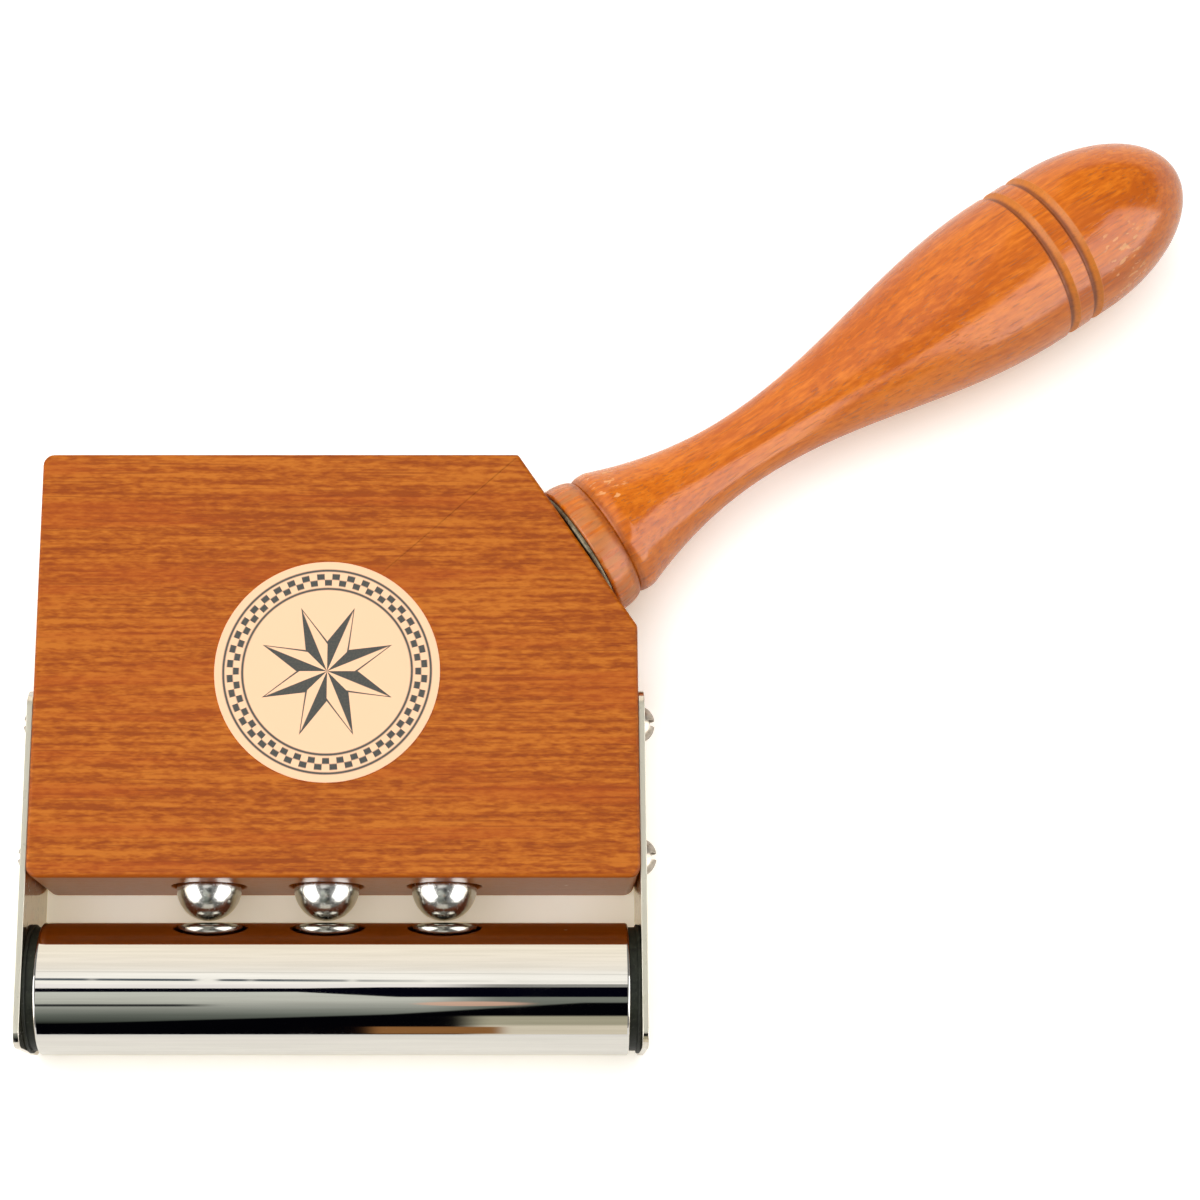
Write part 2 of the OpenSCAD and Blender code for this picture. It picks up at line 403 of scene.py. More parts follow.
def side_rim(edge):
    """Whether an edge joins a plate's broad face to its narrow edge."""
    return sum(abs(face.normal.x) > 0.99 for face in edge.link_faces) == 1


plate_low, plate_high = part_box("right_end_plate")
plate_thick = plate_high.x - plate_low.x
plate_half = (plate_high.z - plate_low.z) / 2

plate_steel, sockets, place = finish("plate_steel", Metallic=1.0)
brushed = noise(place, (2600, 240, 2600), 3, 0.6)
stains = noise(place, (160, 160, 160), 3)
tarnish = between(stains, 0.52, 0.66)
scratches = between(noise(place, (900, 500, 900), 2), 0.62, 0.7)
bright = ramp(brushed, (0.3, (0.62, 0.57, 0.49)), (0.7, (0.72, 0.67, 0.6)))
stained = blend(tarnish * 0.5, bright, colour(0.66, 0.53, 0.45))
scratched = blend(scratches * 0.45, stained, colour(0.3, 0.31, 0.26))
off_middle = abs(parts(place)[2] - block_size.z / 2)
sheared_from = plate_half - sheared_depth
sheared = between(off_middle, sheared_from, sheared_from + sheared_fade)
feed(sockets["Base Color"], blend(sheared * 0.85, scratched, colour(0.64, 0.62, 0.52)))
feed(sockets["Roughness"], 0.07 + brushed * 0.05 + scratches * 0.2 + sheared * 0.42)
feed(sockets["Normal"], bump(brushed, 0.04, 0.1 * mm))

tube_middle = middle("tube")
for side, word in ((-1, "left"), (1, "right")):
    node = word + "_end_plate"
    low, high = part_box(node)
    plate = begin("cube", size=1, location=(low + high) / 2, scale=high - low)
    bpy.ops.object.mode_set(mode="EDIT")
    select("EDGE", along_x)
    bpy.ops.mesh.bevel(offset=plate_corner_round, segments=10)
    select("EDGE", side_rim)
    bpy.ops.mesh.bevel(offset=plate_edge_round, segments=3)
    bpy.ops.object.mode_set(mode="OBJECT")
    way = Vector((side, 0, 0))
    face = side * block_high.x
    through = (-cutter_over, plate_thick + cutter_over)
    for screw in (word + "_upper_screw", word + "_lower_screw"):
        foot = Vector((face, middle(screw).y, block_size.z / 2))
        cut_out(plate, turn(borehole(plate_hole_radius, *through), foot, way, 32))
    foot = Vector((face, tube_middle.y, tube_middle.z))
    cut_out(plate, turn(borehole(plug_nub_radius + thread_gap, *through), foot, way, 48))
    smooth(plate)
    place_piece(plate, word + "_plate", "rattle", "plate_steel", plate_steel, node)

# Plate screws: round-head wood screws of plated steel with a cross recess, two to a plate. Each head
# seats on the plate, and the threaded shank goes through it into the block.
head_radius = 3.7 * mm
head_height = 2.7 * mm
head_edge_round = 0.3 * mm
recess_length = 6.2 * mm
recess_width = 1.4 * mm
recess_depth = 1.4 * mm
point_length = 4 * mm
thread_start = 0.2 * mm
thread_pitch = 1.5 * mm
thread_depth = 0.5 * mm
head_dome = (head_radius ** 2 + head_height ** 2) / (2 * head_height)
head_slope = acos((head_radius - head_edge_round / 2) / head_dome)


def thread(start, end, radius):
    """Half outline of a threaded stretch, as sharp rings a pitch apart."""
    turns = int(abs(end - start) / thread_pitch)
    step = (end - start) / turns
    crests = [(start + step * (turn + 0.5), radius) for turn in range(turns)]
    roots = [(start + step * (turn + 1), radius - thread_depth) for turn in range(turns)]
    return [(start, radius - thread_depth)] + [spot for pair in zip(crests, roots) for spot in pair]


screw_steel, sockets, place = finish("screw_steel", Metallic=1.0)
wiped = noise(place, (900, 900, 900), 3)
feed(sockets["Base Color"], ramp(wiped, (0.3, (0.3, 0.255, 0.2)), (0.7, (0.5, 0.44, 0.37))))
feed(sockets["Roughness"], 0.22 + wiped * 0.16)
feed(sockets["Normal"], bump(wiped, 0.05, 0.1 * mm))

screw_outline = [
    (-screw_length, 0),
    *reversed(thread(-thread_start, point_length - screw_length, screw_shank_radius)),
    (0, screw_shank_radius),
    *arc(head_edge_round, head_radius - head_edge_round, head_edge_round, -pi / 2, 0, 4),
    *arc(head_height - head_dome, 0, head_dome, head_slope, pi / 2, 14),
]
for node in screw_nodes:
    side = 1 if node.startswith("right") else -1
    way = Vector((side, 0, 0))
    seat = Vector((side * (block_high.x + plate_thick), middle(node).y, block_size.z / 2))
    screw = turn(screw_outline, seat, way, 48)
    for size_y, size_z in ((recess_length, recess_width), (recess_width, recess_length)):
        arm = begin(
            "cube",
            size=1,
            location=seat + way * head_height,
            scale=(2 * recess_depth, size_y, size_z),
        )
        cut_out(screw, arm)
    smooth(screw)
    place_piece(screw, node + "_round_head", "rattle", "screw_steel", screw_steel, node)

# Rubber plugs: moulded black rubber between each plate and the tube's end. A thin rim and a narrower
# collar show; a spigot fills the tube's end, and a nub keys into the hole in the plate.
plug_rim_thick = 0.7 * mm
plug_collar_thick = 1.5 * mm
plug_rim_radius = 12.3 * mm
plug_collar_radius = 11.8 * mm
plug_spigot_length = 9 * mm
plug_spigot_radius = 11.45 * mm
plug_round = 0.2 * mm
plug_thick = plug_rim_thick + plug_collar_thick

plug_rubber, sockets, place = finish("plug_rubber", Specular_IOR_Level=0.25)
mottle = noise(place, (700, 700, 700), 4, 0.65)
dust = between(noise(place, (2200, 2200, 2200), 2), 0.6, 0.75)
rubber = ramp(mottle, (0.3, (0.004, 0.005, 0.003)), (0.7, (0.016, 0.019, 0.011)))
feed(sockets["Base Color"], blend(dust * 0.25, rubber, colour(0.1, 0.105, 0.08)))
feed(sockets["Roughness"], 0.42 + mottle * 0.25)
feed(sockets["Normal"], bump(mottle, 0.25, 0.1 * mm))

plug_outline = [
    (plate_thick, 0),
    *arc(plate_thick - plug_round, plug_nub_radius - plug_round, plug_round, pi / 2, 0, 3),
    (0, plug_nub_radius),
    *arc(-plug_round, plug_rim_radius - plug_round, plug_round, pi / 2, 0, 3),
    *arc(plug_round - plug_rim_thick, plug_rim_radius - plug_round, plug_round, 0, -pi / 2, 3),
    (-plug_rim_thick, plug_collar_radius),
    (-plug_thick, plug_collar_radius),
    (-plug_thick, plug_spigot_radius),
    *arc(
        plug_round - plug_thick - plug_spigot_length,
        plug_spigot_radius - plug_round,
        plug_round,
        0,
        -pi / 2,
        3,
    ),
    (-plug_thick - plug_spigot_length, 0),
]
for side, word in ((-1, "left"), (1, "right")):
    foot = Vector((side * block_high.x, tube_middle.y, tube_middle.z))
    plug = turn(plug_outline, foot, Vector((side, 0, 0)))
    smooth(plug)
    place_piece(plug, word + "_plug", "rattle", "plug_rubber", plug_rubber, word + "_end_plug")

# Tube: thin steel tube, polished and chromed, with its ends broken by a fine round. The two rubber
# plugs hold it in line with the plates, and the balls strike it from above.
tube_low, tube_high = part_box("tube")
tube_radius = (tube_high.z - tube_low.z) / 2
tube_wall = 1.2 * mm
tube_edge_round = 0.4 * mm
tube_length = tube_high.x - tube_low.x
tube_support = 0.6 * mm

tube_chrome, sockets, place = finish("tube_chrome", Metallic=1.0)
polish = noise(place, (40, 1500, 1500), 3)
smears = between(noise(place, (45, 90, 90), 3), 0.52, 0.7)
feed(sockets["Base Color"], ramp(polish, (0.3, (0.63, 0.61, 0.57)), (0.7, (0.7, 0.68, 0.64))))
feed(sockets["Roughness"], 0.03 + polish * 0.015 + smears * 0.03)

near_end = tube_edge_round
far_end = tube_length - tube_edge_round
outer_mid = tube_radius - tube_edge_round
inner_mid = tube_radius - tube_wall + tube_edge_round
tube_outline = [
    *arc(near_end, outer_mid, tube_edge_round, -pi / 2, 0, 4),
    (tube_support, tube_radius),
    (tube_length - tube_support, tube_radius),
    *arc(far_end, outer_mid, tube_edge_round, 0, pi / 2, 4),
    *arc(far_end, inner_mid, tube_edge_round, pi / 2, pi, 4),
    *arc(near_end, inner_mid, tube_edge_round, pi, 3 * pi / 2, 4),
    (0, outer_mid),
]
tube_foot = Vector((tube_low.x, tube_middle.y, tube_middle.z))
tube = turn(tube_outline, tube_foot, Vector((1, 0, 0)), 160)
smooth(tube)
place_piece(tube, "striker_tube", "rattle", "tube_chrome", tube_chrome, "tube")

# Balls: polished bearing steel balls, loose in the block's pockets. They jump between the pockets'
# ends and the tube, so they are made each by itself and slide along their pockets.
ball_low, ball_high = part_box("middle_ball")
ball_radius = (ball_high.y - ball_low.y) / 2

ball_steel, sockets, place = finish("ball_steel", Metallic=1.0)
struck = noise(place, (1600, 1600, 1600), 3, 0.7)
feed(sockets["Base Color"], ramp(struck, (0.3, (0.56, 0.555, 0.52)), (0.7, (0.66, 0.655, 0.62))))
feed(sockets["Roughness"], 0.19 + between(struck, 0.5, 0.75) * 0.12)
feed(sockets["Normal"], bump(struck, 0.02, 0.05 * mm))

ball_outline = arc(0, 0, ball_radius, -pi / 2, pi / 2, 48)
for node in ball_nodes:
    ball = turn(ball_outline, middle(node), Vector((0, 1, 0)))
    smooth(ball)
    place_piece(ball, node + "_polished", node, "ball_steel", ball_steel, node)

# Handle washer: zinc plated ring between the cut corner and the handle's bead, so that only its rim
# shows, as a dull grey line. The rim is bevelled towards the block, which leaves a gap there, and the
# washer's block side is painted near black as painted shade for that gap.
washer_radius = 13.3 * mm
washer_hole_radius = 3.25 * mm
washer_thick = 1.2 * mm
washer_bevel = 0.5 * mm
washer_round = 0.2 * mm
gap_shade_fade = 0.3 * mm

washer_steel, sockets, place = finish("washer_steel", Metallic=1.0)
zinc = noise(place, (800, 800, 800), 4, 0.65)
dull = ramp(zinc, (0.3, (0.13, 0.11, 0.07)), (0.7, (0.38, 0.33, 0.23)))
off_cut = place.node("VectorMath", {"operation": "DOT_PRODUCT"}, {0: place, 1: handle_way}, "Value")
# Painted shade: the washer's face next to the block is painted near black, for the shade in the gap.
gap_painted_shade = between(off_cut - cut_middle.dot(handle_way), washer_bevel, washer_bevel - gap_shade_fade)
feed(sockets["Base Color"], blend(gap_painted_shade * 0.9, dull, colour(0.006, 0.006, 0.005)))
feed(sockets["Roughness"], 0.42 + zinc * 0.2)
feed(sockets["Normal"], bump(zinc, 0.1, 0.1 * mm))

washer_outline = [
    (0, washer_hole_radius),
    (0, washer_radius - washer_bevel),
    (washer_bevel - washer_round, washer_radius - washer_round),
    (washer_bevel + washer_round, washer_radius),
    *arc(washer_thick - washer_round, washer_radius - washer_round, washer_round, 0, pi / 2, 4),
    (washer_thick, washer_hole_radius),
    (0, washer_hole_radius),
]
washer = turn(washer_outline, cut_middle, handle_way)
smooth(washer)
place_piece(washer, "handle_ring", "rattle", "washer_steel", washer_steel, "handle_washer")

# Handle stud: double-ended wood screw of zinc plated steel, half in the block and half in the handle.
# Nothing of it shows while the handle is on.
stud_steel, sockets, place = finish("stud_steel", Metallic=1.0)
drawn = noise(place, (900, 900, 900), 3)
feed(sockets["Base Color"], ramp(drawn, (0.3, (0.42, 0.42, 0.38)), (0.7, (0.62, 0.62, 0.58))))
feed(sockets["Roughness"], 0.3 + drawn * 0.2)
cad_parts["handle_stud"].data.materials.clear()
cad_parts["handle_stud"].data.materials.append(stud_steel)

# Handle: turned hardwood under gloss lacquer. It starts with a bead, a groove and a flared lip, narrows
# to a neck and swells again; two grooves run round the swell, and the end is a dome.
bead_radius = 14.2 * mm
bead_length = 5.9 * mm
bead_edge_round = 0.6 * mm
base_groove_radius = 12.5 * mm
lip_radius = 13.25 * mm
lip_length = 4.4 * mm
lip_turn = radians(48)
flare_length = 30.2 * mm
neck_radius = 7.3 * mm
grip_length = 68.8 * mm
swell_radius = 16.7 * mm
swell_length = 11.5 * mm
dome_length = 28.6 * mm
groove_spots = (2.2 * mm, 8 * mm)
groove_half = 1.2 * mm
groove_depth = 0.9 * mm
groove_bottom = -0.4
outline_steps = 24
handle_foot = cut_middle + handle_way * washer_thick
flare_start = bead_length + lip_length / 2 * (1 + sin(lip_turn))
flare_radius = base_groove_radius + (lip_radius - base_groove_radius) * cos(lip_turn)
neck_start = flare_start + flare_length
swell_start = neck_start + grip_length
dome_start = swell_start + swell_length
groove_middles = [swell_start + spot for spot in groove_spots]
shares = [step / outline_steps for step in range(outline_steps + 1)]
lip_turns = [share * (lip_turn + pi / 2) - pi / 2 for share in shares[1:]]

bead = arc(bead_edge_round, bead_radius - bead_edge_round, bead_edge_round, -pi / 2, 0)
bead += [
    (
        bead_edge_round + (bead_length - bead_edge_round) * sin(pi / 2 * share),
        base_groove_radius + (bead_radius - base_groove_radius) * cos(pi / 2 * share),
    )
    for share in shares[1:]
]
lip = [
    (
        bead_length + lip_length / 2 * (1 + sin(turned)),
        base_groove_radius + (lip_radius - base_groove_radius) * cos(turned),
    )
    for turned in lip_turns
]
flare = [
    (flare_start + flare_length * share, neck_radius + (flare_radius - neck_radius) * (1 - share) ** 2)
    for share in shares[1:]
]
grip = [
    (neck_start + grip_length * share, neck_radius + (swell_radius - neck_radius) * (1 - cos(pi * share)) / 2)
    for share in shares[1:]
]


def groove_fall(reach):
    """How deep a groove is at a place from -1 to 1 across it: steep on the block's side."""
    wall = (reach + 1) / (groove_bottom + 1) if reach < groove_bottom else (1 - reach) / (1 - groove_bottom)
    return sin(pi / 2 * wall)


grooves = [
    (spot + groove_half * reach, swell_radius - groove_depth * groove_fall(reach))
    for spot in groove_middles
    for reach in (-1, -0.85, -0.7, -0.55, -0.4, -0.2, 0, 0.2, 0.4, 0.6, 0.8, 1)
]
dome = [
    (dome_start + dome_length * sin(pi / 2 * share), swell_radius * cos(pi / 2 * share))
    for share in shares
]
stud_end = stud_length / 2 - washer_thick
stud_bore = stud_radius + thread_gap
handle_outline = [(stud_end, 0), (stud_end, stud_bore), (0, stud_bore)]
handle_outline += bead + lip + flare + grip + grooves + dome
handle = turn(handle_outline, handle_foot, handle_way, 128)
smooth(handle, 25)

handle_wood, sockets, place = finish("handle_wood", Specular_IOR_Level=0.42)
foot_turned = (
    -(handle_foot.x * cos(handle_angle) + handle_foot.y * sin(handle_angle)),
    -(handle_foot.y * cos(handle_angle) - handle_foot.x * sin(handle_angle)),
    -handle_foot.z,
)
axial = mapped(place, (1, 1, 1), foot_turned, (0, 0, -handle_angle))
figure = noise(axial, (18, 90, 90), 3, 0.55)
streaks = noise(axial, (90, 900, 900), 4, 0.6)
speckle = noise(axial, (420, 1500, 1500), 2)
pores = between(noise(axial, (120, 2400, 2400), 2), 0.57, 0.68)
tone = figure * 0.4 + streaks * 0.35 + speckle * 0.25
turned_wood = ramp(
    tone,
    (0.42, (0.55, 0.11, 0.003)),
    (0.5, (0.67, 0.155, 0.005)),
    (0.58, (0.78, 0.205, 0.01)),
)
porous = blend(pores * 0.45, turned_wood, colour(0.22, 0.045, 0.003))
along, aside, above = parts(axial)


def gathered(spot, reach):
    """A mask of a ring round the handle, as wide as twice its reach."""
    return between(abs(along - spot), reach, reach * 0.3)


# Painted shade: each groove's block-side wall, and the groove beside the bead, are painted dark for the shade
# that falls in them.
groove_wall_shade = sum(gathered(spot - 0.5 * mm, 1.1 * mm) for spot in groove_middles)
painted_groove_shade = groove_wall_shade + gathered(bead_length - 0.1 * mm, 2 * mm) * 0.55
# Painted light: each groove's far wall is painted a lighter golden tone, for the light that falls on it.
groove_far_wall_light = sum(gathered(spot + 0.8 * mm, 0.8 * mm) for spot in groove_middles)
grooves_darkened = blend(painted_groove_shade * 0.75, porous, colour(0.13, 0.03, 0.005))
grooves_lightened = blend(groove_far_wall_light * 0.55, grooves_darkened, colour(0.66, 0.22, 0.012))
rubbed = between(along, 5 * mm, 4 * mm) * between(noise(axial, (60, 700, 700), 2), 0.35, 0.6)
dented = blend(rubbed * 0.5, grooves_lightened, colour(0.46, 0.2, 0.06))
lip_zone = between(along, 6.6 * mm, 8.6 * mm) * between(along, 14.6 * mm, 12.6 * mm)
lip_top = lip_zone * between(aside, 0, 3 * mm)
dome_zone = between(along, 120 * mm, 122 * mm) * between(along, 131 * mm, 128 * mm)
dome_side = dome_zone * between(aside, -5 * mm, -8 * mm)
chips = between(noise(axial, (400, 800, 800), 2), 0.57, 0.64) * between(above, 0, 2 * mm)
scuffs = chips * (lip_top + dome_side)
feed(sockets["Base Color"], blend(scuffs * 0.6, dented, colour(0.92, 0.5, 0.2)))
# The painted groove shade and light also raise the roughness, along with the real scuffs and rubbing.
wear_and_groove_shading = scuffs * 0.3 + painted_groove_shade * 0.3 + groove_far_wall_light * 0.3 + rubbed * 0.2
feed(sockets["Roughness"], 0.13 + streaks * 0.08 + pores * 0.12 + wear_and_groove_shading)
feed(sockets["Normal"], bump(streaks * 0.5 - pores * 0.6 - scuffs, 0.2, 0.12 * mm))
place_piece(handle, "turned_handle", "rattle", "handle_wood", handle_wood, "handle")

# Front label: a round of printed satin film, stuck on the front face. The print is a plain rosette in
# dark green on cream: a star with half-shaded points inside a ring of checks.
label_low, label_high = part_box("front_label")
label_radius = (label_high.x - label_low.x) / 2
label_thick = label_high.z - label_low.z
label_round = 0.08 * mm
label_cream = colour(1, 0.6, 0.36)
label_dark = colour(0.047, 0.051, 0.045)
star_points = 8
star_tip = 0.62
star_waist = 0.27
star_line = 0.026
check_count = 40
check_rings = ((0.78, 0.835), (0.835, 0.89))
line_rings = ((0.74, 0.762), (0.908, 0.93))
print_blur = 0.008

label_foot = Vector((middle("front_label").x, middle("front_label").y, label_low.z))
label_outline = [
    (0, 0),
    (0, label_radius),
    *arc(label_thick - label_round, label_radius - label_round, label_round, 0, pi / 2, 4),
    (label_thick, 0),
]
label = turn(label_outline, label_foot, Vector((0, 0, 1)), 128)
smooth(label)

label_print, sockets, place = finish("label_print", Specular_IOR_Level=0.35)
round_place = mapped(place, (1 / label_radius,) * 3, -label_foot / label_radius)
across, upward = parts(round_place)[:2]
reach = (across * across + upward * upward).math("SQRT")
bearing = upward.math("ARCTAN2", across) + pi


def inside(wire):
    """A mask of where a value is above zero, with the print's soft edge."""
    return between(wire, -print_blur, print_blur)


def ring(inner, outer):
    """A mask of a ring between two shares of the label's radius."""
    return inside(reach - inner) * inside(outer - reach)


point_angle = 2 * pi / star_points
half_angle = point_angle / 2
swing = bearing % point_angle - half_angle
fold = abs(swing)
star_edge = (star_tip * star_waist * sin(half_angle)) / (
    star_waist * (half_angle - fold).math("SINE") + star_tip * fold.math("SINE")
)
star = inside(star_edge - reach)
shaded = star * between(swing, -0.01, 0.01)
outlined = star * between(star_edge - reach, star_line + 0.006, star_line - 0.006)
check = bearing * (check_count / (2 * pi)) % 1
odd = between(abs(check - 0.5), 0.24, 0.26)
checks = ring(*check_rings[0]) * odd + ring(*check_rings[1]) * (1 - odd)
lines = ring(*line_rings[0]) + ring(*line_rings[1])
inked = (shaded + outlined + checks + lines).math("MINIMUM", 1)
paper_grain = noise(place, (2500, 2500, 2500), 2)
feed(sockets["Base Color"], blend(inked * (0.94 + paper_grain * 0.1), label_cream, label_dark))
feed(sockets["Roughness"], 0.38 + paper_grain * 0.15)
feed(sockets["Normal"], bump(paper_grain, 0.04, 0.05 * mm))
place_piece(label, "round_label", "rattle", "label_print", label_print, "front_label")

# Table and backdrop: pale paper, which the rattle touches with the handle's swell and the tube's side of
# the block, so the paper leans a little. It glows cream where the rattle closes it in, its open shadows are
# lifted, and far off it is plain white and turned up as a backdrop.
swell_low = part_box("handle")[0].z
swell_far = handle_foot.y + handle_way.y * (swell_start + swell_length / 2)
lean = (block_low.z - swell_low) / (swell_far - block_low.y)
paper_size = 12
paper_drop = 0.05 * mm
backdrop_height = 1.2
white = colour(1, 1, 1)
black = colour(0, 0, 0)
glow_cream = colour(0.23, 0.175, 0.07)
shadow_lift = colour(0.4, 0.4, 0.4)
overhang_reach = 14 * mm
paper_near = 0.1
paper_far = 0.6


def seen(place):
    """One for a ray from the camera or off a polished or clear surface, and zero for the rest."""
    kinds = ("Is Camera Ray", "Is Glossy Ray", "Is Transmission Ray")
    camera, glossy, clear = [place.node("LightPath", None, None, kind) for kind in kinds]
    return (camera + glossy + clear).math("MINIMUM", 1)


def outer_rim(edge):
    return edge.is_boundary


paper = begin("grid", x_subdivisions=24, y_subdivisions=24, size=paper_size)
bpy.ops.object.mode_set(mode="EDIT")
bpy.ops.mesh.select_all(action="SELECT")
bpy.ops.transform.translate(value=(0, 0, lean * block_low.y - paper_drop))
bpy.ops.transform.rotate(
    value=lean,
    orient_axis="X",
    center_override=(0, 0, lean * block_low.y - paper_drop),
)
select("EDGE", outer_rim)
bpy.ops.mesh.extrude_region_move(TRANSFORM_OT_translate={"value": (0, 0, backdrop_height)})
bpy.ops.object.mode_set(mode="OBJECT")
paper.name = "table_paper"
table_paper, sockets, place = finish(
    "table_paper",
    Specular_IOR_Level=0.1,
    Roughness=0.9,
    Emission_Strength=1.0,
)
fleck = noise(place, (300, 300, 300), 3)
feed(sockets["Base Color"], ramp(fleck, (0.3, (0.94, 0.92, 0.87)), (0.7, (0.96, 0.94, 0.89))))
distance = place.node("VectorMath", {"operation": "LENGTH"}, {0: place}, "Value")
open_sky = place.node("AmbientOcclusion", {"samples": 4}, {"Distance": overhang_reach}, "AO")
camera_ray = place.node("LightPath", None, None, "Is Camera Ray")
looked_at = seen(place)
closed_in = blend(looked_at, black, glow_cream)
in_the_open = blend(camera_ray, black, shadow_lift)
feed(sockets["Emission Color"], blend(open_sky, closed_in, in_the_open))
far_off = between(distance, paper_near, paper_far)
glow = place.node("Emission", None, {"Color": white})
lit = Wire(sockets[0].node.outputs[0])
surface = place.node("MixShader", None, {0: far_off * looked_at, 1: lit, 2: glow})
feed(table_paper.node_tree.nodes["Material Output"].inputs["Surface"], surface)
paper.data.materials.append(table_paper)

# Lamps: one big soft lamp overhead gives the light, and shows in no reflection. Two soft boxes, left and
# right on the tube's side, give no light of their own and only draw highlights on lacquer and steel.
# The world around is a dim white.
overhead_way = Vector((-0.2, 0.12, 0.97)).normalized()
overhead_distance = 1.5
overhead_size = (2.4, 2.4)
overhead_power = 38.5
box_bearing = radians(110)
box_rise = radians(28)
box_distance = 1.4
box_size = (1.5, 1.35)
box_power = 24
world_strength = 0.25


def soft_lamp(way, distance, size, power):
    """Hangs a soft lamp out of the camera's sight, shining on the rattle from this way."""
    bpy.ops.object.light_add(type="AREA", location=way * distance)
    lamp = bpy.context.object
    lamp.rotation_euler = way.to_track_quat("Z", "Y").to_euler()
    lamp.data.shape = "RECTANGLE"
    lamp.data.size, lamp.data.size_y = size
    lamp.data.energy = power
    lamp.visible_camera = False
    return lamp


for side in (-1, 1):
    way = Vector((
        side * sin(box_bearing) * cos(box_rise),
        cos(box_bearing) * cos(box_rise),
        sin(box_rise),
    ))
    soft_box = soft_lamp(way, box_distance, box_size, box_power)
    soft_box.visible_diffuse = False
overhead_lamp = soft_lamp(overhead_way, overhead_distance, overhead_size, overhead_power)
overhead_lamp.visible_glossy = False

world = bpy.data.worlds.new("studio")
world.use_nodes = True
bpy.context.scene.world = world
sky = world.node_tree.nodes["Background"].inputs
sky["Color"].default_value = white
sky["Strength"].default_value = world_strength

# Reflection sheets: a white card behind and a grey screen in front, bent close round the tube's line and
# seen only in reflections. They draw the bands in the chrome: the card's two seams, a black strip overhead,
# the screen's dark foot, and a bench and a pale wall that show past the foot's right end.
sheet_left = -0.17
sheet_right = 0.11
sheet_reach = 0.5
sheet_top = radians(-2)
card_foot = radians(-86)
screen_foot = radians(92)


def hang(name, material, start, end):
    """Hangs a sheet round the tube's line, between two angles from the upright, forward being plus."""
    spot = Vector((0, -sheet_reach * sin(start), sheet_reach * cos(start))) + tube_middle
    spot.x = sheet_left
    sheet = begin("plane", size=mm, location=spot)
    bpy.ops.object.mode_set(mode="EDIT")
    bpy.ops.mesh.select_mode(type="VERT")
    bpy.ops.mesh.select_all(action="SELECT")
    bpy.ops.mesh.merge(type="CENTER")
    bpy.ops.mesh.extrude_vertices_move(TRANSFORM_OT_translate={"value": (sheet_right - sheet_left, 0, 0)})
    bpy.ops.mesh.select_all(action="SELECT")
    bpy.ops.mesh.spin(steps=24, angle=start - end, center=tube_middle, axis=(1, 0, 0))
    bpy.ops.object.mode_set(mode="OBJECT")
    sheet.name = name
    sheet.data.materials.append(material)
    sheet.visible_camera = False
    sheet.visible_diffuse = False
    sheet.visible_shadow = False


def glowing(name, strength):
    """A glowing material, its colour's socket, degrees round the tube and metres along it."""
    material, sockets, place = finish(
        name,
        Base_Color=colour(0, 0, 0),
        Roughness=1.0,
        Specular_IOR_Level=0.0,
        Emission_Strength=strength,
    )
    along, away, up = parts(mapped(place, (1, 1, 1), -tube_middle))
    return material, sockets["Emission Color"], (away * -1).math("ARCTAN2", up) * (180 / pi), along


def strip(wire, low, high, soft):
    """A mask that is one between two values, which may be Wires, with soft edges."""
    return between(wire - low, -soft, soft) * between(wire - high, soft, -soft)


card_white, socket, angle, along = glowing("card_white", 1.35)
shades = ramp(
    (angle + 90) / 90,
    (0.1, (0.94, 0.87, 0.73)),
    (0.5, (0.95, 0.89, 0.79)),
    (0.68, (0.88, 0.84, 0.77)),
    (0.8, (1, 0.99, 0.95)),
)
broken = between(noise(along.node("CombineXYZ", None, {"X": along}), (70, 70, 70), 1), 0.36, 0.46)
seam_strength = (0.15 + 0.85 * between(along, 0.03, -0.06)) * broken
near_seam = strip(angle - along * 20, -9.5, -5.7, 0.5) * seam_strength
far_seam = strip(angle - along * 23, -21.2, -19.8, 0.5) * 0.35
seamed = blend(near_seam, blend(far_seam, shades, colour(0.3, 0.29, 0.26)), colour(0.1, 0.12, 0.14))
feed(socket, seamed)
hang("white_card", card_white, card_foot, sheet_top)

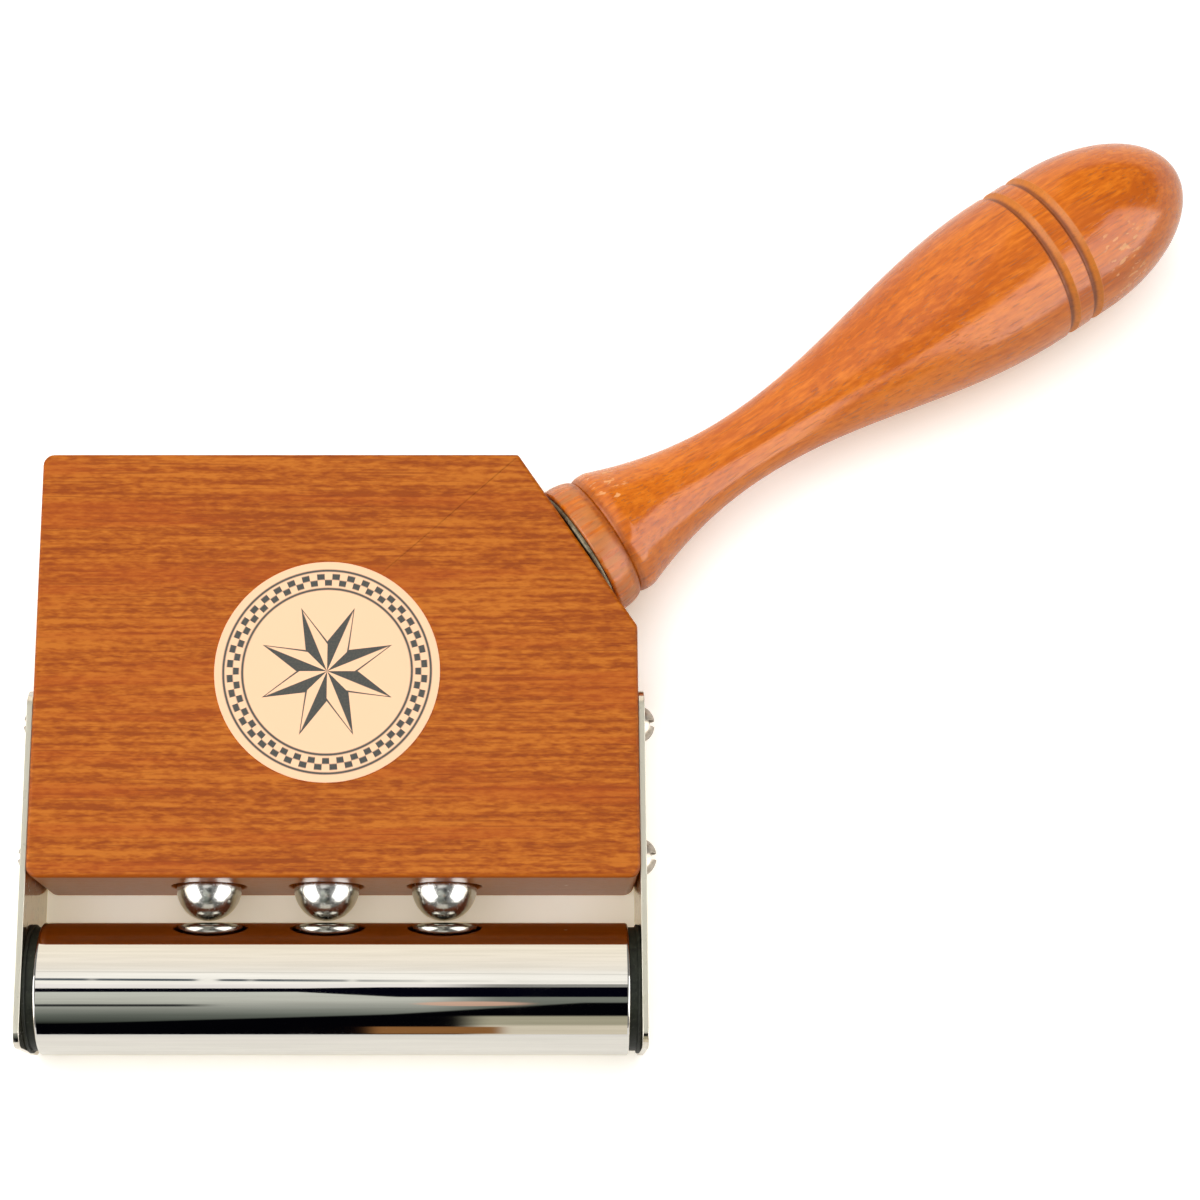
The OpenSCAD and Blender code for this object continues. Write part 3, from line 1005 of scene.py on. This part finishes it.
screen_grey, socket, angle, along = glowing("screen_grey", 1.18)
graded = ramp(
    angle / 90,
    (0, (1, 0.97, 0.98)),
    (0.06, (0.98, 0.96, 0.94)),
    (0.09, (0.68, 0.71, 0.66)),
    (0.28, (0.58, 0.6, 0.55)),
    (0.43, (0.32, 0.34, 0.31)),
    (0.56, (0.15, 0.17, 0.15)),
    (0.7, (0.06, 0.07, 0.06)),
    (0.755, (0.0, 0.0, 0.0)),
)
dimmed = blend(between(along, 0, 0.035) * 0.7, graded, colour(0.04, 0.06, 0.045))
strip_top = (2.3 - along * 60).math("MAXIMUM", 3).math("MINIMUM", 4.8)
strip_foot = (21 + along * 230).math("MAXIMUM", 11).math("MINIMUM", 19.5)
overhead = strip(angle, strip_top, strip_foot, 0.5)
short_line = strip(angle, 31.8, 35.8, 0.5) * between(along, -0.07, -0.09)
lined = blend(overhead + short_line * 0.9, dimmed, colour(0.001, 0.001, 0.005))
warm = between(abs((along - 0.022) / 0.024) ** 2 + abs((angle - 31) / 4.5) ** 2, 1, 0.5)
warmed = blend(warm * 0.8, lined, colour(0.8, 0.5, 0.37))
foot_top = (48.3 - along * 143).math("MINIMUM", 47 - along * 284).math("MAXIMUM", 29)
footed = blend(between(angle - foot_top, -1.5, 1.5), warmed, colour(0.001, 0.001, 0.002))
wall = blend(between(angle, 68, 73), colour(0.44, 0.42, 0.31), colour(0.74, 0.68, 0.55))
walled = blend(between(angle, 51, 55) * between(along, 0.014, 0.03), footed, wall)
bench = strip(angle, 73.5, 88.5, 1.5) * strip(along, -0.016, 0.033, 0.004)
feed(socket, blend(bench, walled, colour(0.3, 0.135, 0.045)))
hang("grey_screen", screen_grey, sheet_top, screen_foot)

# Camera: as the photograph was taken, from above the tube's side and about half a metre off.
# The photograph is a crop, so its optical centre is left of its middle.
photo_width = 1200
focal_pixels = 2586.6
optical_centre_x = 497.1
camera_tilt = radians(14)
camera_spot = Vector((31.19, -109.67, 515.88)) * mm
bpy.ops.object.camera_add(location=camera_spot, rotation=(camera_tilt, 0, 0))
camera = bpy.context.object
camera.data.sensor_width = 36
camera.data.lens = focal_pixels * camera.data.sensor_width / photo_width
camera.data.shift_x = (photo_width / 2 - optical_centre_x) / photo_width
camera.data.clip_start = 0.01
camera.data.clip_end = 50
bpy.context.scene.camera = camera
bpy.context.scene.view_settings.view_transform = "Standard"
